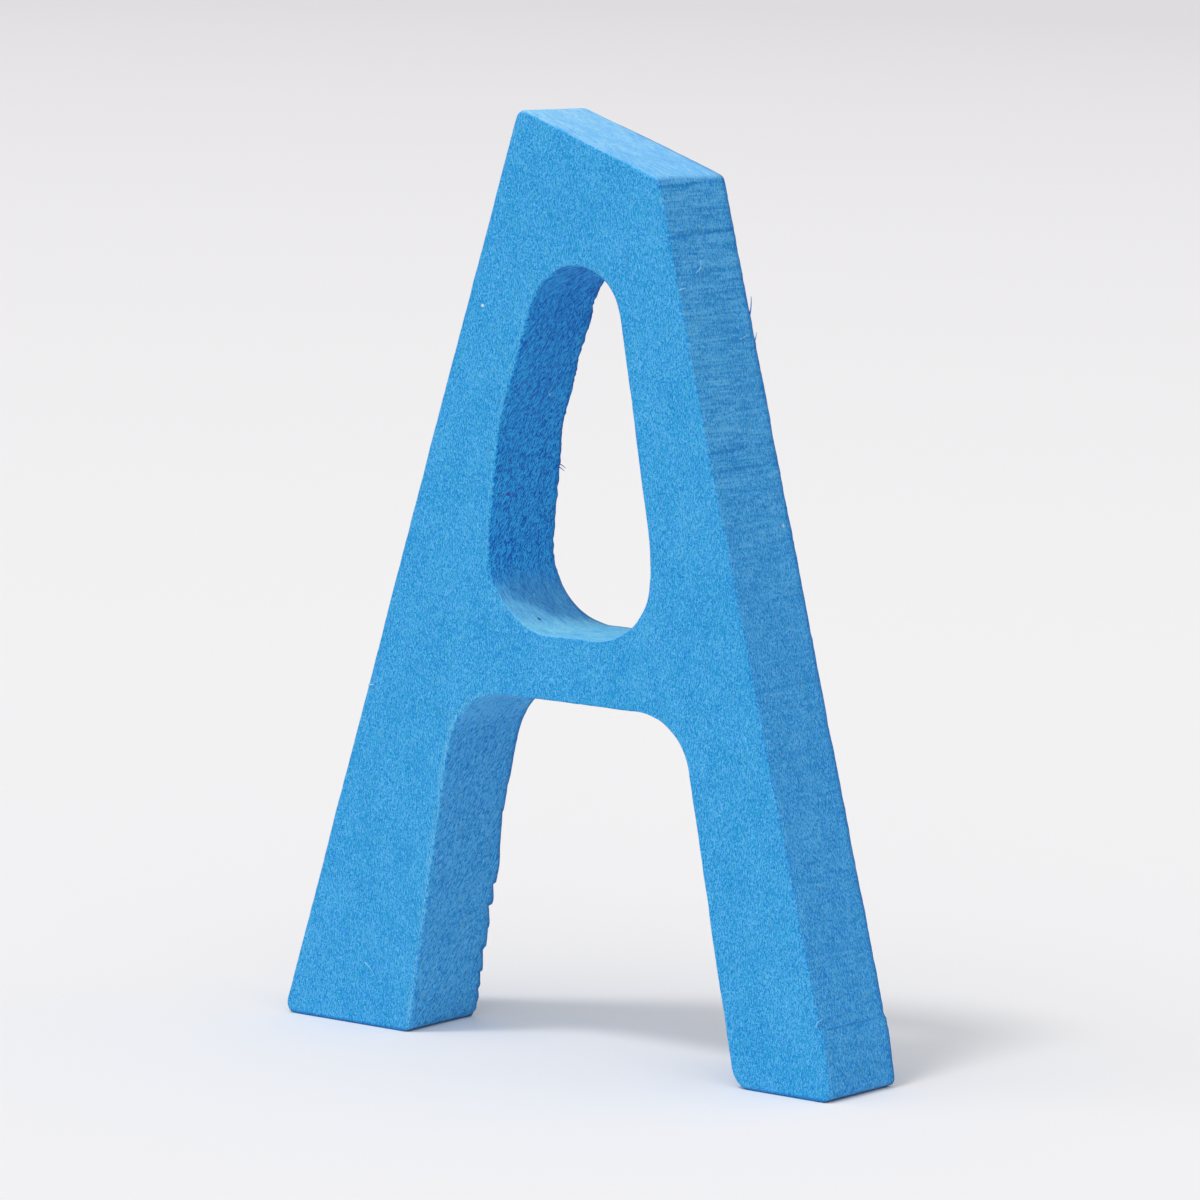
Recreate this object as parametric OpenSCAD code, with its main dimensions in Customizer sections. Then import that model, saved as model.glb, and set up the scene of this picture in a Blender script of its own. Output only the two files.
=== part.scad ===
// Wooden toy letter: a capital A sawn from one board and stained blue.
// It stands on its two feet: +Z is up, the front faces -Y and +X is to the right.
// The origin is under the middle of the base, half way through the thickness.
// A corner is written as [x, z, radius], with x and z where its two sides would meet.

/* [Letter] */
// Height of the high corner of the top
letter_h = 64.1; // [60:0.1:70]
// Fall of the top from its left corner to its right one
top_fall = 4.1; // [0:0.1:8]
// Width of the top
top_w = 11.5; // [10:0.1:14]
// How far the top's middle stands right of the letter's middle
top_shift = 0.5; // [-0.6:0.1:0.8]
// Width of the base between the outer corners of the feet
base_w = 46; // [44:0.2:52]
// Thickness of the board
board_t = 8; // [3:0.5:16]

/* [Arch] */
// Width of the left foot
left_foot_w = 10.8; // [8:0.1:13]
// Width of the right foot
right_foot_w = 7.9; // [6:0.1:9.5]
// Height of the crossbar's underside
arch_h = 24.3; // [20:0.1:25.4]
// Lean of the left leg's inner side, in degrees
left_lean = 7.5; // [4:0.5:10]
// Lean of the right leg's inner side, in degrees
right_lean = 12.5; // [10:0.5:14]
// Radius in the left corner under the crossbar
arch_left_r = 4.8; // [1:0.2:7]
// Radius in the right corner under the crossbar
arch_right_r = 4.4; // [1:0.2:7]

/* [Counter] */
// Height of the crossbar
bar_h = 4.4; // [3:0.2:6]
// Wood left above the hole, under the middle of the top
top_wood = 8.3; // [7:0.1:11]
// Width of the hole at its floor, between the corners that its sides would meet in
counter_w = 15.4; // [14:0.1:16.4]
// How far the middle of the hole's floor stands right of the letter's middle
counter_shift = 0.5; // [0.4:0.1:1.2]
// Lean of the hole's right side, in degrees
counter_lean = 11.4; // [10:0.1:12.5]
// How far the left side bulges out from a straight line
counter_bulge = 1.1; // [0.4:0.1:1.2]
// Radius of the hole's round top
counter_top_r = 4; // [3:0.1:4.4]
// Radius of the hole's lower left corner
counter_left_r = 5.4; // [2:0.1:5.8]
// Radius of the hole's lower right corner
counter_right_r = 4.8; // [2:0.1:5.4]

/* [Corners] */
// Radius of the top's left corner
top_left_r = 0.4; // [0.1:0.1:1.5]
// Radius of the top's right corner, which is cut crisper
top_right_r = 0.2; // [0.1:0.1:1.5]
// Radius of the feet's outer corners
foot_r = 0.7; // [0.2:0.1:2]
// Radius of the left foot's inner corner
left_toe_r = 0.5; // [0.1:0.1:2]
// Radius of the right foot's inner corner, which is worn rounder
right_toe_r = 1.6; // [0.2:0.1:2.4]

/* [Hidden] */
$fn = 96;
stain = [0.25, 0.63, 0.87];

// Outer outline
foot_x = base_w / 2;
top_left_x = top_shift - top_w / 2;
top_right_x = top_shift + top_w / 2;
outer = [
    [-foot_x, 0, foot_r],
    [foot_x, 0, foot_r],
    [top_right_x, letter_h - top_fall, top_right_r],
    [top_left_x, letter_h, top_left_r],
];

// Space between the legs. It is open below, where the feet's inner corners round off its mouth
left_toe_x = left_foot_w - foot_x;
right_toe_x = foot_x - right_foot_w;
mouth_drop = 2;
arch = [
    [left_toe_x - mouth_drop * tan(left_lean), -mouth_drop, 0],
    [right_toe_x + mouth_drop * tan(right_lean), -mouth_drop, 0],
    [right_toe_x - arch_h * tan(right_lean), arch_h, arch_right_r],
    [left_toe_x + arch_h * tan(left_lean), arch_h, arch_left_r],
];

// Hole above the crossbar: its sides run up to a point that one round top replaces
counter_z = arch_h + bar_h;
counter_left_x = counter_shift - counter_w / 2;
counter_right_x = counter_shift + counter_w / 2;
// The round top's centre lies one radius inside the right side, and the left side touches its circle
dome_z = letter_h - top_fall / 2 - top_wood - counter_top_r;
dome_x = counter_right_x - (dome_z - counter_z) * tan(counter_lean) - counter_top_r / cos(counter_lean);
// The left side bends where it bulges most, at this share of the way up to the round top
bulge_share = 0.64;
counter_mid_z = counter_z + bulge_share * (dome_z - counter_z);
straight_x = counter_left_x + bulge_share * (dome_x - counter_top_r - counter_left_x);
counter_mid_x = straight_x - counter_bulge;
counter_mid_r = 10;
// Left side, from its bulge to where it touches the round top
dome_run = [dome_x - counter_mid_x, dome_z - counter_mid_z];
left_slope = atan2(dome_run[0], dome_run[1]) - asin(counter_top_r / norm(dome_run));
// Where the two sides would meet above the round top
peak_z = (counter_right_x - counter_mid_x + counter_z * tan(counter_lean) + counter_mid_z * tan(left_slope))
    / (tan(counter_lean) + tan(left_slope));
peak_x = counter_mid_x + (peak_z - counter_mid_z) * tan(left_slope);
counter = [
    [counter_left_x, counter_z, counter_left_r],
    [counter_right_x, counter_z, counter_right_r],
    [peak_x, peak_z, counter_top_r],
    [counter_mid_x, counter_mid_z, counter_mid_r],
];

// Corner c between its neighbours p and n: the arc that rounds it touches both sides
function at(c) = [c[0], c[1]];
function towards(c, p) = (at(p) - at(c)) / norm(at(p) - at(c));
function half_angle(c, p, n) = acos(towards(c, p) * towards(c, n)) / 2;
function setback(c, p, n) = c[2] / tan(half_angle(c, p, n));
function bisector(c, p, n) = (towards(c, p) + towards(c, n)) / norm(towards(c, p) + towards(c, n));
function arc_centre(c, p, n) = at(c) + bisector(c, p, n) * c[2] / sin(half_angle(c, p, n));
function before(list, i) = list[(i + len(list) - 1) % len(list)];
function after(list, i) = list[(i + 1) % len(list)];

// What a rounded corner loses: the kite from the arc's centre over the corner, beyond the arc.
// The kite is drawn past the corner's sides, and the arc's circle a trace too large, so that
// each crosses the sides cleanly where it would otherwise only touch them
module corner_loss(c, p, n) {
    centre = arc_centre(c, p, n);
    past = 1.2;
    trace = 1.001;
    difference() {
        polygon([
            centre,
            centre + past * (at(c) + setback(c, p, n) * towards(c, p) - centre),
            centre + past * (at(c) - centre),
            centre + past * (at(c) + setback(c, p, n) * towards(c, n) - centre),
        ]);
        translate(centre)
            circle(c[2] * trace);
    }
}

// A closed outline whose corners are true arcs
module rounded(corners) {
    difference() {
        polygon([for (c = corners) at(c)]);
        for (i = [0:len(corners) - 1])
            if (corners[i][2] > 0)
                corner_loss(corners[i], before(corners, i), after(corners, i));
    }
}

// The letter's face, with the hole and the space between the legs cut out
module face() {
    difference() {
        rounded(outer);
        rounded(counter);
        rounded(arch);
        corner_loss([left_toe_x, 0, left_toe_r], [-foot_x, 0], arch[3]);
        corner_loss([right_toe_x, 0, right_toe_r], [foot_x, 0], arch[2]);
    }
}

// The board stands upright, centred on its thickness
module letter() {
    color(stain)
        rotate([90, 0, 0])
            translate([0, 0, -board_t / 2])
                linear_extrude(board_t)
                    face();
}

letter();
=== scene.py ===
"""Looks of the wooden letter: one sawn, sanded and stained board on a pale studio floor."""

import math

import bpy
import numpy as np
from mathutils import Matrix, Vector
from mathutils.geometry import delaunay_2d_cdt
from mathutils.kdtree import KDTree


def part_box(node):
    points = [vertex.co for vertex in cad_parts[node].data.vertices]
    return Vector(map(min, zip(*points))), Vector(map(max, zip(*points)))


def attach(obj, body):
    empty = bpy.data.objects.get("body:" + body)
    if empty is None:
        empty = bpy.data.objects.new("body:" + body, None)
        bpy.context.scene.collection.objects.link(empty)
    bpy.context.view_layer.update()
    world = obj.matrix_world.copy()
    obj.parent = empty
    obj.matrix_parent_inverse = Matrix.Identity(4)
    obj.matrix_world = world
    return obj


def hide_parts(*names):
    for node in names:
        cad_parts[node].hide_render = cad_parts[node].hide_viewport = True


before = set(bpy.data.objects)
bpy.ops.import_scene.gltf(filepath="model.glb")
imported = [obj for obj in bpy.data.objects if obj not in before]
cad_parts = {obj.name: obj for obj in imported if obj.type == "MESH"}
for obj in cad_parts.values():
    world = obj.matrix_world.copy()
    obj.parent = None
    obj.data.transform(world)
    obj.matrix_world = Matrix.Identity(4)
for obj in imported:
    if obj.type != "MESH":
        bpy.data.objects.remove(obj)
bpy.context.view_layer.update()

MM = 0.001  # a millimetre, in metres; sizes below are in millimetres
NODE = "letter"
LOW, HIGH = (np.array(corner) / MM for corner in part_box(NODE))
HALF_T = (HIGH[1] - LOW[1]) / 2

# Mesh spacing
OUTLINE_STEP = 0.2
FACE_STEP = 0.31
WALL_ROWS = 25
EDGE_ROWS = 3

# Sanded edges: their radius on the two faces and how much it wanders
FRONT_EASE, BACK_EASE, EASE_WANDER = 0.11, 0.06, 0.02
FRONT_CELL, BACK_CELL, FRAY_CELL = 2.5, 1.2, 0.8  # lengths over which it wanders and frays
WORN_EASE = 0.05  # more on the front edges of the hole and of the left leg
RIGHT_EASE = 0.12  # more on the front edges of the right side and of the top
CORNER_EASE, CORNER_X, CORNER_WIDE = 0.15, -5.0, 0.7  # more at the high corner of the top
SOLE_EASE = 0.35  # share of the easing that is left under the feet
HOLD = 0.06  # extra rows this close to an eased edge keep it crisp

# Where the parts of the letter lie: the legs' outer sides by their x at the floor and how it falls
LEG_X, LEG_SLOPE = 23.0, 0.278
LEG_NEAR = 1.5  # walls this near to them belong to the outer sides
TOP_Z = 57.0  # above this height the walls belong to the top
BAR_Z = 26.5  # above this height the inner walls belong to the hole
CROWN_Z = 40.0  # above this height the hole's wall is its round top
LEFT_LEG = (-13.5, -8.0)  # between these x the left leg's inner side lies
RIGHT_FOOT_X = 14.0  # beyond this x lies the right foot
LEDGE_FROM = 4.3  # how far left of the middle the painted shadow on the hole's floor begins
LEDGE_SLANT, LEDGE_FADE, LEDGE_FRAY = 0.35, 0.7, 0.5  # how that line slants, fades and frays
LEDGE_CELL, LEDGE_DARK = (1.5, 0.14, 1.5), 0.5  # its streaks, and how much darker the painted shadow makes the floor

# Hand sawing: slow wander of the cut, saw marks across the thickness and raised fibres
WANDER, WANDER_CELL = 0.03, 5.0
QUICK_CELLS = (1.7, 0.5)  # quicker wanders on top of the slow one
SOLE_RISE = (0.4, 2.0)  # between these heights the wander begins
SAW_DEPTH, SAW_PITCH, SAW_LEAN = 0.008, 0.42, 0.035
SAW_WAVER, SAW_WAVER_CELL = 0.12, (3.0, 2.0, 3.0)
SAW_PATCH_CELL = (7.0, 9.0, 7.0)  # patches where the saw marks are stronger
SAW_RISE = (20.0, 55.0)  # between these heights they grow stronger
HIGH_RISE = (22.0, 48.0)  # between these heights the right side grows rougher
FIBRE_DEPTH, FIBRE_CELL = 0.016, (0.9, 0.24, 0.7)
FACE_DEPTH, FACE_CELL, FACE_SPOT_CELL = 0.012, (0.35, 2.0, 0.9), (0.6, 2.0, 0.6)
STEP_Z, STEP_HIGH, STEP_OUT = 4.75, 0.09, 0.1  # step that the last cut left on the right foot
HEEL_Z, HEEL_LOW, HEEL_IN = 4.0, 0.8, 0.2  # heights where the right foot's heel is sanded in, and how far
SPUR_Z, SPUR_WIDE, SPUR_OUT = 33.6, 1.9, 0.22  # wood left low on the hole's right side
SPUR_ALL = 0.07  # wood left all along it
# Wood that the leaning blade left at the front: on the hole's left side, on the left leg
# and high on the right side, where it sets in between two heights
LEAN_RISE = (42.0, 56.0)
LEAN_HOLE, LEAN_LEG, LEAN_HIGH = 0.28, 0.15, 0.11
# Sanding of the top's back edge: how far it reaches, its depth all along, and its extra depth
# at the left end, which fades in between two places along x
SAND_FADE = (0.9, -5.2)
SAND_REACH, SAND_ALL, SAND_LEFT = 0.9, 0.045, 0.18

# Height of single saw lines on the right side, and how dark each is (below zero for a pale one)
SAW_LINES = [(59.6, 0.9), (56.35, 1.5), (53.85, 0.25), (45.85, 0.4), (42.3, 0.8), (41.0, 0.7),
             (35.1, 0.4), (26.7, 0.45), (54.4, -0.8), (40.3, -0.6)]
SAW_LINE_WIDE = 0.16

# Torn wood along the back edge of the left leg, where the blade came out:
# height of the ledge above each chip, how far down the chip runs out, and its depth
TEARS = [(16.9, 1.6, 0.07), (14.9, 1.0, 0.08), (9.75, 1.1, 0.29), (8.2, 1.4, 0.40), (6.5, 0.8, 0.09),
         (5.1, 1.5, 0.35), (3.35, 1.1, 0.27), (2.25, 0.9, 0.25), (1.25, 0.6, 0.13)]
TEAR_REACH, TEAR_SLOPE = 0.9, 0.55  # how far in a chip reaches, and how its ledge rises there
# Slow waves of the same edge: heights, and how far it stands out there
WAVE_Z = [0.0, 0.5, 1.2, 6.8, 8.7, 10.0, 11.0, 12.4, 14.6, 18.0, 21.0, 24.0]
WAVE_OUT = [-0.32, -0.04, 0.06, 0.06, 0.12, 0.18, 0.25, 0.05, -0.07, 0.12, 0.24, 0.14]
# Small notches in the back edges: lengths of the small and the large ones, how far in they reach,
# and their depth on the left leg's inner side, on the other inner walls and on the outer ones
NOTCH_CELLS, NOTCH_REACH = (0.45, 1.3), 0.4
NOTCH_LEG, NOTCH_INNER, NOTCH_OUTER = 0.03, 0.14, 0.04
# How far the worn rims spread, and how far the painted shade along the back edge reaches
RIM_WIDE, BACK_WIDE = 0.3, 0.35

# Loose fibres: start, tip, sideways bow, radius and paleness of each (below zero for a dark one).
# The last two are the flake and the ridge line at the right foot's step; the ridge line is dark as
# painted shade under the step
HAIRS = [
    ((8.8, 3.9, 50.75), (8.76, 4.05, 52.05), (0.06, 0.0, 0.0), 0.055, -0.6),
    ((9.25, 3.9, 48.95), (9.3, 4.05, 49.65), (0.03, 0.0, 0.0), 0.045, -0.6),
    ((-6.7, 3.85, 39.55), (-6.07, 4.05, 39.15), (0.0, 0.0, 0.02), 0.05, -0.8),
    ((-6.7, 3.85, 39.3), (-6.17, 4.05, 38.95), (0.0, 0.0, 0.02), 0.05, -0.8),
    ((-16.0, -4.0, 4.4), (-15.3, -4.0, 3.8), (0.02, -0.02, 0.02), 0.06, 0.8),
    ((-16.33, -4.04, 23.74), (-15.88, -4.06, 23.85), (0.0, -0.02, 0.02), 0.085, 1.0),
    ((7.86, -0.82, 54.59), (7.98, -0.92, 54.13), (0.02, 0.0, 0.0), 0.075, 0.9),
    ((7.98, -0.92, 54.14), (8.09, -1.62, 53.82), (0.03, 0.0, 0.0), 0.06, 0.9),
    ((7.98, -0.92, 54.14), (8.04, -0.74, 53.9), (0.02, 0.0, 0.0), 0.055, 0.8),
    ((8.36, -3.9, 52.75), (8.36, -3.15, 52.91), (0.03, 0.0, 0.02), 0.085, 0.7),
    ((9.27, 2.15, 49.32), (9.27, 2.42, 49.34), (0.02, 0.0, 0.0), 0.075, 0.6),
    ((9.25, 2.6, 49.36), (9.25, 3.2, 49.4), (0.03, 0.0, 0.1), 0.06, 0.6),
    ((21.42, -4.02, 4.9), (21.53, -3.3, 5.47), (0.06, -0.28, 0.1), 0.1, 0.35),
    ((21.77, -3.55, 4.74), (21.77, 3.7, 4.7), (0.0, 0.0, 0.03), 0.05, -0.35),
]
HAIR_SIDES, HAIR_RINGS, HAIR_TAPER = 6, 7, 0.6
ACROSS = (0.36, 0.48, 0.8)  # a direction that no fibre follows


# Repeatable noise

def random_cells(cells, seed):
    """A repeatable number from -1 to 1 for each row of whole numbers."""
    mask = np.uint64(0xFFFFFFFF)
    primes = np.array([73856093, 19349663, 83492791], dtype=np.uint64)
    key = np.full(len(cells), (seed * 2654435761) % 2**32, dtype=np.uint64)
    for column, prime in zip(cells.T, primes):
        key ^= (column.astype(np.uint64) * prime) & mask
        key = ((key ^ (key >> np.uint64(15))) * np.uint64(2246822519)) & mask
        key ^= key >> np.uint64(13)
    return (key & np.uint64(0xFFFFFF)) / float(0xFFFFFF) * 2 - 1


def noise(columns, cell, seed):
    """Smooth noise from -1 to 1 at points given by columns, on a lattice of the given cell sizes."""
    at = np.stack(columns, 1) / np.asarray(cell, dtype=float)
    low = np.floor(at).astype(np.int64)
    part = at - low
    ease = part * part * (3 - 2 * part)
    total = np.zeros(len(at))
    for corner in np.ndindex(*(2,) * at.shape[1]):
        weight = np.prod(np.where(corner, ease, 1 - ease), axis=1)
        total += weight * random_cells(low + np.array(corner), seed)
    return total


def smooth_step(low, high, value):
    """0 below low, 1 above high, and smooth between them."""
    t = np.clip((value - low) / (high - low), 0, 1)
    return t * t * (3 - 2 * t)


# Outlines of the board, from the CAD node

def front_outlines(node):
    """Closed outlines of the node's front face as (x, z) points, with the wood on their left."""
    mesh = node.data
    keys = [tuple(np.round(np.array(v.co) / MM, 4)) for v in mesh.vertices]
    directed = set()
    for face in mesh.polygons:
        if face.normal.y < -0.99:
            corners = [keys[i] for i in face.vertices]
            directed.update(zip(corners, corners[1:] + corners[:1]))
    following = {a: b for a, b in directed if (b, a) not in directed}
    loops = []
    while following:
        start = min(following)
        loop, at = [], start
        while at in following:
            loop.append((at[0], at[2]))
            at = following.pop(at)
        loops.append(np.array(loop))
    return sorted(loops, key=len, reverse=True)


def evenly(loop):
    """The loop with points evenly spaced and lightly smoothed, and the inward normals there."""
    closed = np.vstack([loop, loop[:1]])
    along = np.r_[0, np.cumsum(np.linalg.norm(np.diff(closed, axis=0), axis=1))]
    count = round(along[-1] / OUTLINE_STEP)
    place = np.arange(count) * along[-1] / count
    points = np.stack([np.interp(place, along, closed[:, k]) for k in range(2)], 1)
    for _ in range(2):
        points = (np.roll(points, 1, 0) + 2 * points + np.roll(points, -1, 0)) / 4
    tangent = np.roll(points, -1, 0) - np.roll(points, 1, 0)
    tangent /= np.linalg.norm(tangent, axis=1)[:, None]
    return points, np.stack([-tangent[:, 1], tangent[:, 0]], 1)


def wandered(points, normal):
    """The sawn line: the drawn outline with a slow wander, still flat under the feet."""
    x, z = points.T
    slow = noise([x, z], (WANDER_CELL,) * 2, 11)
    quick = noise([x, z], (QUICK_CELLS[0],) * 2, 12) + noise([x, z], (QUICK_CELLS[1],) * 2, 13)
    lift = smooth_step(*SOLE_RISE, z)
    right_foot = (x > RIGHT_FOOT_X) * (normal[:, 0] < -0.5)
    step = STEP_OUT * smooth_step(STEP_Z + STEP_HIGH, STEP_Z - STEP_HIGH, z)
    heel = HEEL_IN * smooth_step(HEEL_Z, HEEL_LOW, z) * (0.4 + 0.6 * smooth_step(0.0, HEEL_LOW, z))
    within = (x > 0) * (z > BAR_Z) * (x < LEG_X - LEG_SLOPE * z - LEG_NEAR)
    hole_right = within * smooth_step(0.55, 0.95, normal[:, 0])
    spur = (SPUR_ALL + SPUR_OUT * np.exp(-(((z - SPUR_Z) / SPUR_WIDE) ** 2))) * hole_right
    away = WANDER * (slow + 0.4 * quick) * lift + (heel - step) * right_foot - spur
    return points + normal * away[:, None]


def tear_steps(z):
    """Depth torn off at each height: a chip is deepest under its ledge and runs out below it."""
    depth = np.zeros(len(z))
    for ledge, run, deep in TEARS:
        part = (ledge - z) / run
        chip = deep * smooth_step(0.0, 0.2, part) * (1 - np.clip(part, 0, 1)) ** 1.2
        depth = np.maximum(depth, chip)
    return depth


class Wall:
    """The sawn wall along one outline, with the eased edges that join it to both faces."""

    def __init__(self, loop, seed):
        points, self.normal = evenly(loop)
        self.points = wandered(points, self.normal)
        x, z = self.points.T
        self.find_kinds(x, z)
        self.ragged = self.torn_rim(x, z, seed)
        self.ease_edges(x, z, seed)

    def find_kinds(self, x, z):
        """Shares from 0 to 1 of the letter's parts at each point, and how far the blade leaned there."""
        across, up = -self.normal.T
        outer = (np.abs(x) > LEG_X - LEG_SLOPE * z - LEG_NEAR) | (z > TOP_Z)
        faces_right = smooth_step(0.1, 0.6, across)
        hole_top = smooth_step(0.2, 0.7, -up) * (z > CROWN_Z)
        self.inner = ~outer
        self.right = outer * faces_right
        self.worn = self.inner * np.maximum(faces_right, hole_top)
        self.leg = (x > LEFT_LEG[0]) * (x < LEFT_LEG[1]) * smooth_step(0.3, 0.9, across)
        self.hole = self.inner & (z > BAR_Z)
        self.top = outer * smooth_step(0.4, 0.9, up) * (z > TOP_Z)
        high = self.right * smooth_step(*LEAN_RISE, z)
        self.lean = LEAN_HOLE * self.hole * faces_right + LEAN_LEG * self.leg + LEAN_HIGH * high

    def torn_rim(self, x, z, seed):
        """Small notches in the back edge, deeper on the inner walls."""
        small = np.abs(noise([x, z], (NOTCH_CELLS[0],) * 2, seed + 1))
        large = smooth_step(0.25, 0.7, noise([x, z], (NOTCH_CELLS[1],) * 2, seed + 2))
        upright = smooth_step(0.75, 0.95, np.abs(self.normal[:, 0])) * smooth_step(0.3, 1.0, z)
        deep = np.where(self.leg > 0.5, NOTCH_LEG, np.where(self.inner, NOTCH_INNER, NOTCH_OUTER))
        return deep * (small + 0.7 * large - 0.4) * upright

    def ease_edges(self, x, z, seed):
        """Radius of both eased edges, and how deep the top's back edge is sanded."""
        self.sanded = self.top * (SAND_ALL + SAND_LEFT * smooth_step(*SAND_FADE, x))
        sole = SOLE_EASE + (1 - SOLE_EASE) * smooth_step(0.0, 0.5, z)
        frayed = 1 + 0.5 * noise([x, z], (FRAY_CELL,) * 2, seed + 5)
        frayed = RIGHT_EASE * np.maximum(self.right, self.top) * frayed
        corner = CORNER_EASE * np.exp(-(((x - CORNER_X) / CORNER_WIDE) ** 2)) * (z > TOP_Z)
        wander = EASE_WANDER * noise([x, z], (FRONT_CELL,) * 2, seed + 3)
        self.front = (FRONT_EASE + WORN_EASE * self.worn + frayed + corner + wander) * sole
        wander = EASE_WANDER * noise([x, z], (BACK_CELL,) * 2, seed + 4)
        self.back = (BACK_EASE + wander) * sole

    def grid(self):
        """Rows of points from the front face's rim to the back's: places, normals and facts of each."""
        turns = np.linspace(0, math.pi / 2, EDGE_ROWS + 1)
        flat = np.zeros(len(self.points))
        rows = [self.placed(self.front + HOLD, flat - HALF_T, 0.0, -1.0)]
        for turn in turns:
            rows.append(self.row(self.front, turn, -1))
        for share in np.linspace(0, 1, WALL_ROWS):
            y = (1 - share) * (self.front + HOLD - HALF_T) + share * (HALF_T - self.back - HOLD)
            rows.append(self.placed(flat, y, 1.0, 0.0))
        for turn in turns[::-1]:
            rows.append(self.row(self.back, turn, 1))
        rows.append(self.placed(self.back + HOLD, flat + HALF_T, 0.0, 1.0))
        return {key: np.stack([r[key] for r in rows]) for key in rows[0]}

    def row(self, ease, turn, way):
        """One row of an eased edge: turn 0 is on the face, a quarter turn is on the wall."""
        inset = ease * (1 - math.sin(turn))
        y = way * (HALF_T - ease * (1 - math.cos(turn)))
        return self.placed(inset, y, math.sin(turn), way * math.cos(turn))

    def placed(self, inset, y, side, facing):
        """Facts of one row, with the blade's lean and the torn and sanded wood near the back."""
        z = self.points[:, 1]
        near = smooth_step(HALF_T - TEAR_REACH, HALF_T - 0.1, y)
        torn = self.leg * tear_steps(z - TEAR_SLOPE * (HALF_T - y))
        wave = self.leg * np.interp(z, WAVE_Z, WAVE_OUT) * smooth_step(-HALF_T, HALF_T, y)
        sanded = self.sanded * np.clip(1 - (HALF_T - y) / SAND_REACH, 0, 1) ** 1.5
        notched = self.ragged * smooth_step(HALF_T - NOTCH_REACH, HALF_T - 0.05, y)
        inset = inset + sanded - self.lean * smooth_step(HALF_T, -HALF_T, y)
        inset = inset + notched + torn * near - wave
        at = self.points + self.normal * inset[:, None]
        full = np.ones(len(at))
        return {
            "x": at[:, 0],
            "y": y,
            "z": at[:, 1],
            "nx": -self.normal[:, 0] * side,
            "ny": full * facing,
            "nz": -self.normal[:, 1] * side,
            "side": full * side,
            "inner": self.inner * full,
            "hole": self.hole * full,
            "right": self.right * full,
            "worn": self.worn * full,
            "torn": near * smooth_step(0.02, 0.2, torn),
        }


def saw_height(f):
    """Height of the saw marks and raised fibres on the walls, and the saw marks' own strength."""
    place = [f["x"], f["y"], f["z"]]
    level = f["z"] - SAW_LEAN * f["y"]
    across = level + SAW_WAVER * noise(place, SAW_WAVER_CELL, 21)
    strength = (0.6 + 0.4 * noise(place, SAW_PATCH_CELL, 22)) * (0.5 + smooth_step(*SAW_RISE, f["z"]))
    marks = 0.75 * noise([f["x"], f["y"], across], (4.0, 6.0, SAW_PITCH), 23)
    marks += 0.25 * noise([f["x"], f["y"], across], (4.0, 3.0, SAW_PITCH / 2.3), 24)
    for z, dark in SAW_LINES:
        gap = (level - z) / SAW_LINE_WIDE
        marks -= f["right"] * dark * np.exp(-gap * gap)
    height = SAW_DEPTH * strength * marks + FIBRE_DEPTH * noise(place, FIBRE_CELL, 25)
    return height, marks * strength


def face_height(f):
    """Height of the sanded, raised grain on the two faces."""
    place = [f["x"], f["y"], f["z"]]
    return FACE_DEPTH * (noise(place, FACE_CELL, 31) + 0.6 * noise(place, FACE_SPOT_CELL, 32))


def inside(points, rings):
    """True for each point that an odd number of ring edges lies to the right of."""
    odd = np.zeros(len(points), dtype=bool)
    for ring in rings:
        for a, b in zip(ring, np.roll(ring, -1, 0)):
            spans = (a[1] > points[:, 1]) != (b[1] > points[:, 1])
            if spans.any():
                cross = a[0] + (points[spans, 1] - a[1]) * (b[0] - a[0]) / (b[1] - a[1])
                odd[spans] ^= points[spans, 0] < cross
    return odd


def tree_of(points):
    """A search tree over (x, z) points."""
    tree = KDTree(len(points))
    for i, (x, z) in enumerate(points):
        tree.insert((x, z, 0), i)
    tree.balance()
    return tree


def filled(rings):
    """Inner points and triangles that fill the space between rings of (x, z) points."""
    row = FACE_STEP * math.sqrt(0.75)
    grid = []
    for k, z in enumerate(np.arange(LOW[2], HIGH[2], row)):
        xs = np.arange(LOW[0], HIGH[0], FACE_STEP) + (k % 2) * FACE_STEP / 2
        grid.append(np.stack([xs, np.full(len(xs), z)], 1))
    grid = np.vstack(grid)
    grid = grid[inside(grid, rings)]
    rim = np.vstack(rings)
    tree = tree_of(rim)
    clear = np.array([tree.find((x, z, 0))[2] > 0.7 * FACE_STEP for x, z in grid])
    grid = grid[clear]
    edges, start = [], 0
    for ring in rings:
        count = len(ring)
        edges += [(start + i, start + (i + 1) % count) for i in range(count)]
        start += count
    spots = np.vstack([rim, grid])
    found = delaunay_2d_cdt([Vector(p) for p in spots], edges, [], 0, 1e-7)
    source = np.array([names[0] for names in found[3]])
    triangles = source[np.array(found[2])]
    kept = inside(spots[triangles].mean(1), rings)
    return grid, triangles[kept]


def letter_mesh(node):
    """The dressed letter: walls round both outlines, and the two faces between them."""
    walls = [Wall(loop, seed) for seed, loop in zip((41, 61), front_outlines(node))]
    grids = [wall.grid() for wall in walls]
    facts = {key: [g[key].ravel() for g in grids] for key in grids[0]}
    faces, rims, start = [], {0: [], -1: []}, 0
    for g in grids:
        rows, count = g["x"].shape
        index = start + np.arange(rows * count).reshape(rows, count)
        ahead = np.roll(index, -1, 1)
        quads = np.stack([index[:-1], index[1:], ahead[1:], ahead[:-1]], -1)
        faces += quads.reshape(-1, 4).tolist()
        for row in rims:
            rims[row].append(index[row])
        start += rows * count
    for row, way in ((0, -1), (-1, 1)):
        rings = [np.stack([g["x"][row], g["z"][row]], 1) for g in grids]
        inner, triangles = filled(rings)
        count = len(inner)
        names = np.r_[np.concatenate(rims[row]), start + np.arange(count)]
        faces += names[triangles[:, ::-way]].tolist()
        flat = {"x": inner[:, 0], "z": inner[:, 1], "y": np.full(count, way * HALF_T)}
        flat["ny"] = np.full(count, float(way))
        for key in facts:
            facts[key].append(flat.get(key, np.zeros(count)))
        start += count
    return {key: np.concatenate(parts) for key, parts in facts.items()}, faces, walls


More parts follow.
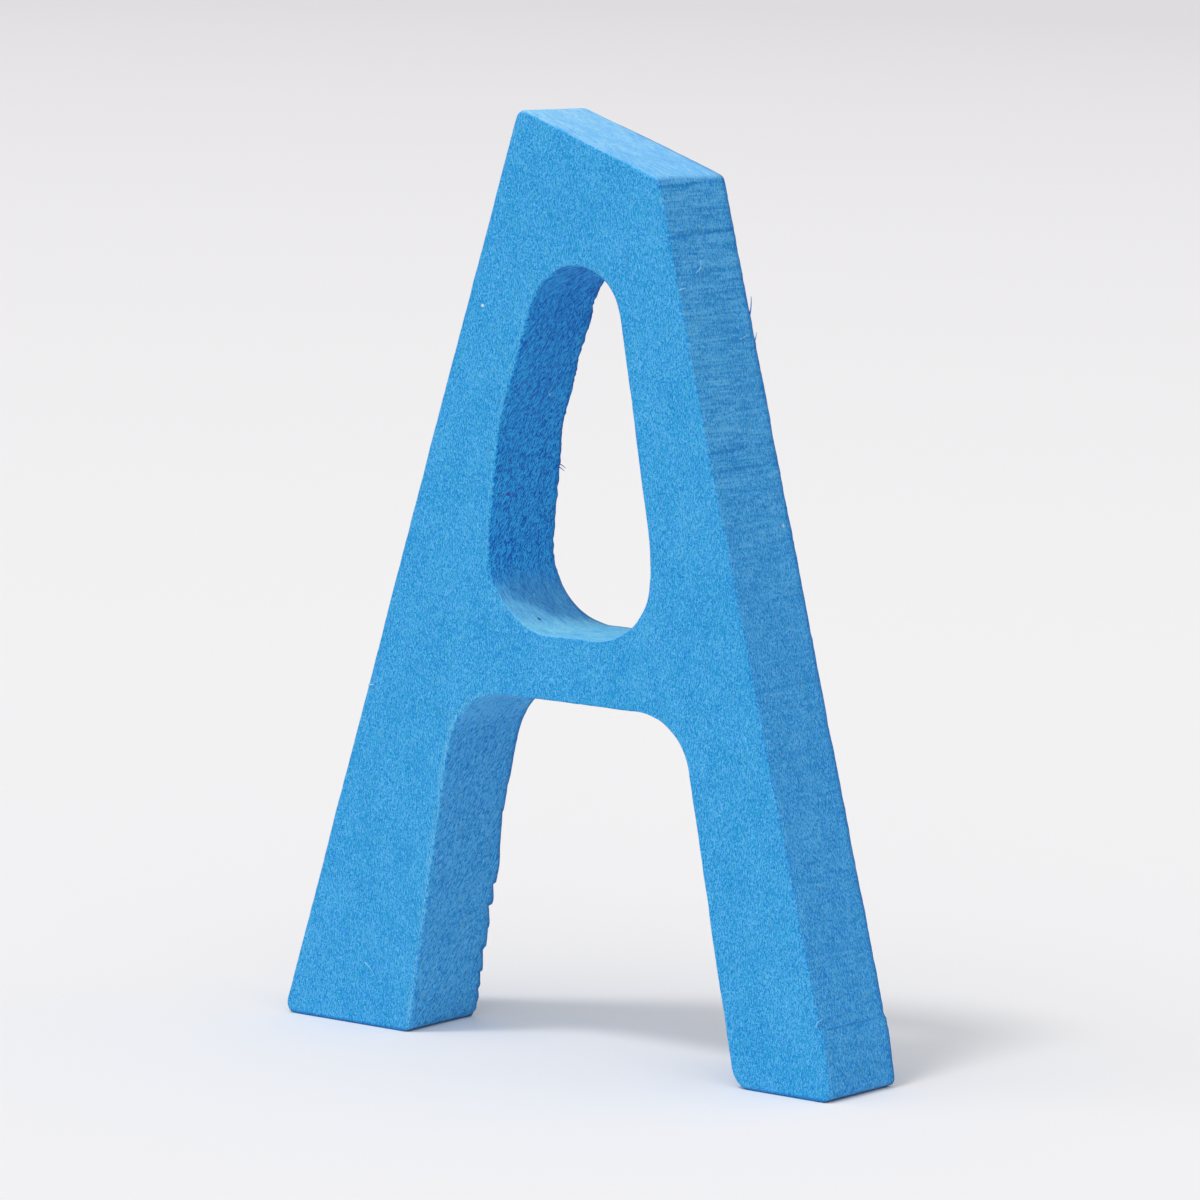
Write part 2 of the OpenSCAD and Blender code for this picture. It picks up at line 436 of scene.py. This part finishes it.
def hair(start, tip, bow, radius):
    """A thin closed fibre from start to tip: its points and faces."""
    start, tip, bow = (np.array(v) for v in (start, tip, bow))
    share = np.linspace(0, 1, HAIR_RINGS)[:, None]
    line = start + share * (tip - start) + 4 * share * (1 - share) * bow
    ahead = (tip - start) / np.linalg.norm(tip - start)
    first = np.cross(ahead, ACROSS)
    first /= np.linalg.norm(first)
    second = np.cross(ahead, first)
    turn = np.arange(HAIR_SIDES)[:, None] * 2 * math.pi / HAIR_SIDES
    rim = np.cos(turn) * first + np.sin(turn) * second
    thick = radius * (1 - HAIR_TAPER * share)
    points = line[:, None] + thick[:, None] * rim
    index = np.arange(HAIR_RINGS * HAIR_SIDES).reshape(HAIR_RINGS, HAIR_SIDES)
    beside = np.roll(index, -1, 1)
    quads = np.stack([index[:-1], beside[:-1], beside[1:], index[1:]], -1)
    faces = quads.reshape(-1, 4).tolist()
    return points.reshape(-1, 3), faces + [index[0][::-1].tolist(), index[-1].tolist()]


def rim_facts(f, walls):
    """Closeness of each point to the board's edges: 1 on them, falling off over part of a millimetre."""
    tree = tree_of(np.vstack([wall.points for wall in walls]))
    inwards = np.array([tree.find((x, z, 0))[2] for x, z in zip(f["x"], f["z"])])
    depth = HALF_T - np.abs(f["y"])
    return {
        "rim": np.exp(-((np.hypot(inwards, depth) / RIM_WIDE) ** 2)),
        # the walls near the back face, which get painted shade
        "back": np.exp(-(((HALF_T - f["y"]) / BACK_WIDE) ** 2)) * f["side"],
    }


def upward_share(f):
    """Share of an upward wall's pale colour at each point: paler end grain with painted sheen and light
    from above. The hole's floor gets a painted shadow to its left.
    """
    upward = smooth_step(0.35, 0.9, f["nz"])
    ledge = smooth_step(0.2, 0.8, f["nz"]) * (0.6 + 0.4 * smooth_step(0.85, 1.0, f["nz"]))
    streaky = noise([f["x"], f["y"], f["z"]], LEDGE_CELL, 35)
    # Past this slanted line lies the painted shadow of the hole's left wall on its floor
    past = LEDGE_SLANT * f["y"] - f["x"] - LEDGE_FROM + LEDGE_FRAY * streaky
    shaded = smooth_step(-LEDGE_FADE, LEDGE_FADE, past)
    return upward + f["hole"] * (ledge * (1 - LEDGE_DARK * shaded) - upward)


def stain_values(f, walls, marks):
    """What the stain needs to know at each point, as numbers by name."""
    values = {key: f[key] for key in ("side", "inner", "hole", "right", "worn", "torn")}
    values["upward"] = upward_share(f)
    values["corner"] = smooth_step(0.15, 0.6, f["nz"]) * f["hole"]
    values["under"] = smooth_step(0.2, 0.9, -f["nz"]) * f["inner"] * (1 - f["hole"])
    values["high"] = smooth_step(*HIGH_RISE, f["z"]) * f["right"]
    values["rear"] = smooth_step(-1.0, HALF_T, f["y"]) * f["side"]
    values["saw"] = marks * f["side"]
    values.update(rim_facts(f, walls))
    values["hair"] = np.zeros(len(marks))
    return values


def with_hairs(places, faces, values):
    """The letter's points, faces and numbers, with those of the loose fibres after them."""
    for *shape, pale in HAIRS:
        points, sides = hair(*shape)
        faces = faces + [[len(places) + i for i in side] for side in sides]
        places = np.vstack([places, points])
        given = {key: np.full(len(points), pale * (key == "hair")) for key in values}
        values = {key: np.r_[values[key], given[key]] for key in values}
    return places, faces, values


def make_letter():
    """The letter as one mesh of closed shells that stands for its CAD node."""
    f, faces, walls = letter_mesh(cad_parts[NODE])
    saw, marks = saw_height(f)
    height = f["side"] * saw + (1 - f["side"]) * face_height(f)
    height = height * smooth_step(0.0, 0.5, f["z"])
    places = np.stack([f[k] + height * f["n" + k] for k in "xyz"], 1)
    places[:, 2] = np.maximum(places[:, 2], 0)
    places, faces, values = with_hairs(places, faces, stain_values(f, walls, marks))
    mesh = bpy.data.meshes.new("letter_wood")
    mesh.from_pydata((places * MM).tolist(), [], faces)
    for name, value in values.items():
        mesh.attributes.new(name, "FLOAT", "POINT").data.foreach_set("value", value)
    mesh.polygons.foreach_set("use_smooth", [True] * len(mesh.polygons))
    mesh.validate()
    piece = bpy.data.objects.new("letter_wood", mesh)
    bpy.context.scene.collection.objects.link(piece)
    return piece


# Materials

RAMP_STOPS = (0.12, 0.5, 0.88)  # tones at which a stain's three colours stand


class Nodes:
    """The node tree of a material or a world, with short calls to add linked nodes."""

    def __init__(self, owner):
        owner.use_nodes = True
        self.tree = owner.node_tree

    def surface(self, name, value):
        """Set or link one input of the material's shader."""
        self.give(self.tree.nodes["Principled BSDF"].inputs[name], value)

    def add(self, kind, inputs=(), **settings):
        """A new node with the given settings and inputs."""
        node = self.tree.nodes.new("ShaderNode" + kind)
        for name, value in settings.items():
            setattr(node, name, value)
        for key, value in dict(inputs).items():
            self.give(node.inputs[key], value)
        return node

    def give(self, socket, value):
        """Link the socket to another one, or set its value."""
        if isinstance(value, bpy.types.NodeSocket):
            self.tree.links.new(value, socket)
        else:
            socket.default_value = value

    def math(self, operation, *values):
        return self.add("Math", enumerate(values), operation=operation).outputs[0]

    def attribute(self, name):
        """One of the numbers that the mesh keeps at its points."""
        return self.add("Attribute", attribute_name=name, attribute_type="GEOMETRY").outputs["Fac"]

    def grain(self, place, sizes, detail=2.0, warp=0.0):
        """Noise from 0 to 1 in cells of the given sizes, in millimetres."""
        scale = [1 / s for s in sizes]
        at = self.add("VectorMath", {0: place, 1: scale}, operation="MULTIPLY").outputs[0]
        inputs = {"Vector": at, "Scale": 1.0, "Detail": detail, "Roughness": 0.55, "Distortion": warp}
        return self.add("TexNoise", inputs).outputs["Fac"]

    def tone(self, parts):
        """One half, plus each part's departure from one half times its weight."""
        total = 0.5
        for value, weight in parts:
            total = self.math("MULTIPLY_ADD", self.math("SUBTRACT", value, 0.5), weight, total)
        return total

    def stretch(self, value, low, high, to_low=0.0, to_high=1.0):
        """The value taken from one range to another, and held at its ends."""
        inputs = {"Value": value, "From Min": low, "From Max": high, "To Min": to_low, "To Max": to_high}
        return self.add("MapRange", inputs, clamp=True).outputs["Result"]

    def ramp(self, tone, colours):
        """The three colours at low, middle and high tones."""
        node = self.add("ValToRGB", {"Fac": tone})
        stops = node.color_ramp.elements
        stops.new(0.5)
        for stop, place, colour in zip(stops, RAMP_STOPS, colours):
            stop.position, stop.color = place, (*colour, 1)
        return node.outputs["Color"]

    def mixed(self, kind, share, first, second):
        """The first colour or number, with a share of the second in its place."""
        names = {"RGBA": "Color", "FLOAT": "Float"}
        node = self.add("Mix", data_type=kind)
        given = {"Factor_Float": share, "A_" + names[kind]: first, "B_" + names[kind]: second}
        for key, value in given.items():
            self.give(next(s for s in node.inputs if s.identifier == key), value)
        return next(s for s in node.outputs if s.identifier == "Result_" + names[kind])

    def blend(self, share, first, second):
        return self.mixed("RGBA", share, first, second)

    def mix(self, share, first, second):
        return self.mixed("FLOAT", share, first, second)


# Stain colours, as linear red, green and blue: low, middle and high tones of each kind of surface
FACE_STAIN = [(0.006, 0.232, 0.580), (0.031, 0.362, 0.745), (0.135, 0.500, 0.880)]
SIDE_STAIN = [(0.007, 0.185, 0.560), (0.036, 0.330, 0.752), (0.135, 0.487, 0.870)]
HOLE_STAIN = [(0.001, 0.120, 0.530), (0.002, 0.328, 0.980), (0.055, 0.580, 1.000)]
LEG_STAIN = [(0.008, 0.225, 0.665), (0.036, 0.412, 0.910), (0.135, 0.575, 1.000)]
# The two end-grain colours next are paler grain and painted sheen and light from above together
LEDGE_STAIN_AND_LIGHT = [(0.080, 0.500, 0.970), (0.215, 0.715, 1.000), (0.330, 0.820, 1.000)]
END_STAIN_AND_SHEEN = [(0.110, 0.460, 0.920), (0.233, 0.602, 1.000), (0.385, 0.730, 1.000)]
WORN = (0.190, 0.540, 0.830, 1)
BARE_FLECK = (0.165, 0.425, 0.540, 1)
PALE_THREAD = (0.135, 0.440, 0.610, 1)
TEAL = (0.025, 0.420, 0.640, 1)
VIOLET = (0.030, 0.250, 0.780, 1)
DEEP = (0.003, 0.090, 0.360, 1)
SHADED = (0.057, 0.230, 0.507, 1)
HAIR = (0.270, 0.640, 0.880, 1)
WHITE, PALE = (0.85, 0.85, 0.90, 1), (0.40, 0.62, 0.72, 1)
DARK, RED = (0.04, 0.05, 0.14, 1), (0.10, 0.05, 0.35, 1)

# Single specks: place, radius and colour
SPECKS = [
    ((-7.67, -4.0, 50.6), 0.13, WHITE),
    ((12.68, 3.1, 36.95), 0.15, PALE),
    ((-5.67, 1.32, 44.42), 0.13, PALE),
    ((-3.76, -1.68, 29.41), 0.2, DARK),
    ((-6.35, -2.2, 37.77), 0.2, RED),
]

# Cells of the stain's noises: sizes across, through and up the board, and how much each wavers
SPECKLE_CELL, MOTTLE_CELL = (0.1, 0.1, 0.13), (1.6, 1.6, 2.4)
STROKE_CELL, STROKE_WARP = (0.075, 0.5, 0.25), 1.2
STREAK_CELL, STREAK_WARP = (0.9, 0.09, 0.5), 0.7
FUZZ_CELL, FUZZ_WARP = (0.6, 0.1, 0.24), 0.5
SCUFF_CELL, SCUFF_WARP = (1.0, 0.07, 0.36), 0.8
LINE_CELL, BAND_CELL = (5.0, 4.0, 0.2), (5.0, 3.0, 0.15)
WOBBLE_CELL, UNEVEN_CELL = (2.0, 1.5, 2.0), (9.0, 1.0, 0.6)
CREASE_CELL, HUE_CELL = (2.0, 0.1, 1.0), (0.35, 0.35, 0.5)
FLECK_CELL, THREAD_CELL = (0.2, 0.5, 1.8), (0.5, 0.09, 0.3)
SCUFF_TILT = 35  # degrees that the strokes on the inner walls lean towards the back
SOLE_SHADOW = (0.05, 0.28)  # between these heights the painted contact shadow at the floor fades out

# How far each change of colour goes: the stain's hue, flecks and threads, and the painted shade in the
# hole's low corners, along the back edge and at the floor
HUE_SHARE, FLECK_SHARE, THREAD_SHARE = 0.28, 0.4, 0.6
CORNER_SHARE, BACK_SHARE, SOLE_SHADOW_SHARE = 0.3, 0.6, 0.85
WEAR_CURVE, HOLE_KEPT = 0.35, 0.6  # how widely the worn rims spread, and how much less at the hole

# Sheen and relief of the wood
ROUGHNESS, SPECULAR = (0.62, 0.8), 0.1
SHEEN, SHEEN_ROUGHNESS = 0.06, 0.3
RELIEF_STRENGTH, RELIEF_DEPTH = 0.6, 0.05


class Wood(Nodes):
    """Nodes of the stained wood, with the noises that its surfaces share."""

    def __init__(self, material):
        super().__init__(material)
        coords = self.add("TexCoord").outputs["Object"]
        scale = {0: coords, 1: (1 / MM,) * 3}
        self.place = self.add("VectorMath", scale, operation="MULTIPLY").outputs[0]
        self.axes = self.add("SeparateXYZ", {0: self.place}).outputs
        self.speckle = self.grain(self.place, SPECKLE_CELL, detail=1.5)
        self.mottle = self.grain(self.place, MOTTLE_CELL, detail=3.0)
        self.strokes = self.grain(self.place, STROKE_CELL, detail=1.0, warp=STROKE_WARP)
        self.streaks = self.grain(self.place, STREAK_CELL, detail=2.0, warp=STREAK_WARP)
        self.side, self.inner, self.hole = (self.attribute(k) for k in ("side", "inner", "hole"))
        self.rim, self.high = (self.attribute(k) for k in ("rim", "high"))

    def times(self, first, second):
        return self.math("MULTIPLY", first, second)

    def plus(self, value, share, base):
        """The base with a share of the value added."""
        return self.math("MULTIPLY_ADD", value, share, base)

    def without(self, value):
        """What is left of one."""
        return self.math("SUBTRACT", 1.0, value)


def saw_line_tone(n):
    """Darkness of the single saw lines, uneven across the thickness."""
    wobble = n.math("SUBTRACT", n.grain(n.place, WOBBLE_CELL), 0.5)
    level = n.plus(n.axes["Y"], -SAW_LEAN, n.axes["Z"])
    level = n.plus(wobble, 0.2, level)
    total = 0.0
    for z, dark in SAW_LINES:
        gap = n.math("ABSOLUTE", n.math("SUBTRACT", level, z))
        total = n.plus(n.stretch(gap, 0.02, SAW_LINE_WIDE, 1.0, 0.0), dark, total)
    uneven = n.stretch(n.grain(n.place, UNEVEN_CELL), 0.35, 0.6, 0.3, 1.0)
    return n.times(total, uneven)


def outer_tone(n):
    """Outer walls: fuzz up the grain, and the saw's lines across it."""
    fuzz = n.grain(n.place, FUZZ_CELL, detail=1.5, warp=FUZZ_WARP)
    lines = n.grain(n.place, LINE_CELL)
    tone = n.tone([(n.speckle, 1.9), (fuzz, 1.7), (lines, 0.4), (n.mottle, 0.4)])
    tone = n.plus(n.attribute("saw"), 0.06, tone)
    bands = n.math("SUBTRACT", n.grain(n.place, BAND_CELL, detail=1.0), 0.5)
    tone = n.plus(n.times(bands, n.high), 1.1, tone)
    cuts = n.times(saw_line_tone(n), n.attribute("right"))
    return n.plus(cuts, -0.42, tone)


def inner_tone(n):
    """Inner walls: rougher strokes that lean towards the back, and painted shade where the wood is torn.
    """
    tilt = {"Vector": n.place, "Angle": math.radians(SCUFF_TILT)}
    tilted = n.add("VectorRotate", tilt, rotation_type="X_AXIS").outputs[0]
    scuffs = n.grain(tilted, SCUFF_CELL, detail=1.5, warp=SCUFF_WARP)
    creases = n.stretch(n.grain(tilted, CREASE_CELL), 0.58, 0.7)
    tone = n.tone([(scuffs, 6.4), (n.speckle, 2.9), (n.mottle, 0.6)])
    tone = n.plus(n.times(creases, n.attribute("rear")), -0.4, tone)
    # Painted shade in the torn chips
    return n.plus(n.attribute("torn"), -0.45, tone)


def inner_colour(n, outer, tone):
    """The outer walls' colour, with the walls under the crossbar and those of the hole laid over it, and
    painted shade low in the hole's corners.
    """
    leg_tone = n.plus(n.attribute("under"), 0.4, n.math("ADD", tone, 0.08))
    wall = n.blend(n.inner, outer, n.ramp(leg_tone, LEG_STAIN))
    corner = n.attribute("corner")
    corner_tone = n.tone([(n.streaks, 3.6), (n.speckle, 1.6), (n.mottle, 0.8)])
    hole_tone = n.mix(corner, tone, corner_tone)
    hole_tone = n.plus(n.math("SUBTRACT", hole_tone, 0.5), 1.25, 0.5)
    # Painted shade low in the hole's corners, where the floor turns into the walls
    hole_wall = n.blend(n.times(corner, CORNER_SHARE), n.ramp(hole_tone, HOLE_STAIN), SHADED)
    return n.blend(n.hole, wall, hole_wall)


def end_grain_and_sheen_colour(n):
    """Upward walls: paler end grain with painted sheen and light from above, streaks along it and a
    little darker to the right.
    """
    tone = n.tone([(n.streaks, 2.2), (n.speckle, 1.2), (n.mottle, 0.8)])
    tone = n.plus(n.axes["X"], -0.022, tone)
    return n.blend(n.hole, n.ramp(tone, END_STAIN_AND_SHEEN), n.ramp(tone, LEDGE_STAIN_AND_LIGHT))


def drifted(n, colour):
    """Slow drifts of the stain's hue."""
    hue = n.grain(n.place, HUE_CELL, detail=1.5)
    colour = n.blend(n.stretch(hue, 0.54, 0.75, 0.0, HUE_SHARE), colour, TEAL)
    return n.blend(n.stretch(hue, 0.46, 0.25, 0.0, HUE_SHARE), colour, VIOLET)


def aged_and_shaded(n, colour):
    """Worn rims, fibres that took less stain, painted shade along the back edge and a painted contact
    shadow at the floor.
    """
    wear = n.times(n.math("POWER", n.rim, WEAR_CURVE), n.without(n.side))
    wear = n.times(n.times(wear, n.attribute("worn")), n.plus(n.hole, -HOLE_KEPT, 1.0))
    colour = n.blend(n.times(wear, n.stretch(n.strokes, 0.45, 0.62)), colour, WORN)
    fleck = n.stretch(n.grain(n.place, FLECK_CELL), 0.61, 0.77, 0.0, FLECK_SHARE)
    colour = n.blend(n.times(fleck, n.without(n.hole)), colour, BARE_FLECK)
    thread = n.stretch(n.grain(n.place, THREAD_CELL, detail=1.0), 0.52, 0.72, 0.0, THREAD_SHARE)
    colour = n.blend(n.times(thread, n.times(n.high, n.side)), colour, PALE_THREAD)
    # Painted shade along the back edge of the walls
    colour = n.blend(n.times(n.attribute("back"), BACK_SHARE), colour, DEEP)
    # Painted contact shadow at the floor
    return n.blend(n.stretch(n.axes["Z"], *SOLE_SHADOW, SOLE_SHADOW_SHARE, 0.0), colour, DEEP)


def spotted(n, colour):
    """Single specks, and the colours of the loose fibres."""
    for centre, radius, speck in SPECKS:
        gap = n.add("VectorMath", {0: n.place, 1: centre}, operation="DISTANCE").outputs["Value"]
        colour = n.blend(n.stretch(gap, 0.5 * radius, radius, 1.0, 0.0), colour, speck)
    fibre = n.attribute("hair")
    colour = n.blend(n.math("MAXIMUM", fibre, 0.0), colour, HAIR)
    return n.blend(n.math("MAXIMUM", n.times(fibre, -1.0), 0.0), colour, DEEP)


def stained_wood():
    """Blue stain on sanded wood: strokes up the grain on the faces, saw marks and fuzz on the walls."""
    material = bpy.data.materials.new("blue_stained_wood")
    n = Wood(material)
    face_tone = n.tone([(n.speckle, 1.6), (n.strokes, 2.3), (n.mottle, 0.4)])
    outer, inner = outer_tone(n), inner_tone(n)
    wall = inner_colour(n, n.ramp(outer, SIDE_STAIN), inner)
    wall = n.blend(n.attribute("upward"), wall, end_grain_and_sheen_colour(n))
    # Strokes of the face fray the line where it meets the wall
    fray = n.times(n.rim, n.math("SUBTRACT", n.strokes, 0.5))
    frayed = n.stretch(n.plus(fray, 1.6, n.side), 0.0, 1.0)
    colour = n.blend(frayed, n.ramp(face_tone, FACE_STAIN), wall)
    n.surface("Base Color", spotted(n, aged_and_shaded(n, drifted(n, colour))))
    n.surface("Roughness", n.stretch(n.speckle, 0.3, 0.7, *ROUGHNESS))
    n.surface("Specular IOR Level", SPECULAR)
    n.surface("Sheen Weight", SHEEN)
    n.surface("Sheen Roughness", SHEEN_ROUGHNESS)
    relief = n.mix(n.side, face_tone, n.mix(n.inner, outer, inner))
    height = {"Height": relief, "Strength": RELIEF_STRENGTH, "Distance": RELIEF_DEPTH * MM}
    bump = n.add("Bump", height)
    n.surface("Normal", bump.outputs["Normal"])
    return material


# The floor: its colours near the letter and far from it, the far one darker as painted fall-off of the
# light
FLOOR_NEAR, FLOOR_FAR = (0.862, 0.852, 0.862, 1), (0.705, 0.690, 0.710, 1)
FLOOR_ROUGHNESS = 0.9
FLOOR_SIZE = 8.0  # metres
FADE_FROM, FADE_TO = 0.2, 2.2  # metres from the letter


def pale_paper():
    """The studio's pale sheet, a little darker far away as painted fall-off of the light, and no shinier
    than the wood.
    """
    material = bpy.data.materials.new("pale_paper")
    n = Nodes(material)
    coords = n.add("TexCoord").outputs["Object"]
    far = n.add("VectorMath", {0: coords}, operation="LENGTH").outputs["Value"]
    share = n.stretch(far, FADE_FROM, FADE_TO)
    n.surface("Base Color", n.blend(share, FLOOR_NEAR, FLOOR_FAR))
    n.surface("Roughness", FLOOR_ROUGHNESS)
    n.surface("Specular IOR Level", SPECULAR)
    return material


def make_floor():
    """The sheet that the letter stands on."""
    half = FLOOR_SIZE / 2
    mesh = bpy.data.meshes.new("floor")
    corners = [(-half, -half, 0), (half, -half, 0), (half, half, 0), (-half, half, 0)]
    mesh.from_pydata(corners, [], [(0, 1, 2, 3)])
    floor = bpy.data.objects.new("floor", mesh)
    floor.data.materials.append(pale_paper())
    bpy.context.scene.collection.objects.link(floor)


# Light and camera

ROOM = 0.31  # strength of the pale room, which is brighter overhead and on the camera's side
ROOM_LEAN = (0.165, -0.235, 0.58)
BACKDROP = (0.739, 0.724, 0.745, 1)
KEY_FROM, KEY_STRENGTH, KEY_ANGLE = (-0.190, -0.380, 0.905), 0.87, 10
FILL_FROM, FILL_STRENGTH, FILL_ANGLE = (-0.1, -0.85, 0.5), 0.62, 100


def add_lamp(name, source, strength, angle):
    """A far lamp as wide as the given angle, in degrees, shining from the source's direction."""
    lamp = bpy.data.lights.new(name, "SUN")
    lamp.energy, lamp.angle = strength, math.radians(angle)
    holder = bpy.data.objects.new(name, lamp)
    holder.rotation_mode = "QUATERNION"
    holder.rotation_quaternion = (-Vector(source)).to_track_quat("-Z", "Y")
    bpy.context.scene.collection.objects.link(holder)


def pale_room():
    """A room that is brighter overhead and on the camera's side, and looks evenly pale behind."""
    world = bpy.data.worlds.new("studio")
    n = Nodes(world)
    towards = n.add("TexCoord").outputs["Generated"]
    facing = n.add("VectorMath", {0: towards, 1: ROOM_LEAN}, operation="DOT_PRODUCT").outputs["Value"]
    level = n.add("Math", {0: facing, 1: ROOM}, operation="ADD", use_clamp=True).outputs[0]
    room = n.tree.nodes["Background"]
    n.give(room.inputs["Color"], (1, 1, 1, 1))
    n.give(room.inputs["Strength"], level)
    seen = n.add("Background", {"Color": BACKDROP}).outputs[0]
    rays = n.add("LightPath").outputs
    either = n.math("MAXIMUM", rays["Is Camera Ray"], rays["Is Glossy Ray"])
    looked_at = n.math("MAXIMUM", either, rays["Is Transmission Ray"])
    choice = n.add("MixShader", {"Fac": looked_at, 1: room.outputs[0], 2: seen}).outputs[0]
    n.give(n.tree.nodes["World Output"].inputs["Surface"], choice)
    return world


def light_scene():
    """A key from high on the left, a broad fill from the front and a pale room all round."""
    add_lamp("key", KEY_FROM, KEY_STRENGTH, KEY_ANGLE)
    add_lamp("fill", FILL_FROM, FILL_STRENGTH, FILL_ANGLE)
    bpy.context.scene.world = pale_room()


# The photograph's view: camera place, then in degrees its turn round the letter, its dip and its roll
CAMERA_AT = (252.85, -358.88, 85.31)
CAMERA_TURN, CAMERA_DIP, CAMERA_ROLL = 35.162, 7.059, 1.926
CAMERA_LENS, CAMERA_SENSOR = 195.58, 36.0
CAMERA_CLIP = (0.01, 20.0)  # metres


def place_camera():
    """A long lens at the photograph's place."""
    turn, dip, roll = (math.radians(d) for d in (CAMERA_TURN, CAMERA_DIP, CAMERA_ROLL))
    ahead = Vector((-math.sin(turn) * math.cos(dip), math.cos(turn) * math.cos(dip), -math.sin(dip)))
    right = Vector((math.cos(turn), math.sin(turn), 0))
    up = right.cross(ahead)
    rolled_right = math.cos(roll) * right + math.sin(roll) * up
    rolled_up = math.cos(roll) * up - math.sin(roll) * right
    data = bpy.data.cameras.new("camera")
    data.lens, data.sensor_width = CAMERA_LENS, CAMERA_SENSOR
    data.clip_start, data.clip_end = CAMERA_CLIP
    camera = bpy.data.objects.new("camera", data)
    turned = Matrix((rolled_right, rolled_up, -ahead)).transposed().to_4x4()
    camera.matrix_world = Matrix.Translation(Vector(CAMERA_AT) * MM) @ turned
    bpy.context.scene.collection.objects.link(camera)
    bpy.context.scene.camera = camera


letter = make_letter()
letter.data.materials.append(stained_wood())
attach(letter, "root")
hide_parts(NODE)
make_floor()
light_scene()
place_camera()
bpy.context.scene.view_settings.view_transform = "Standard"
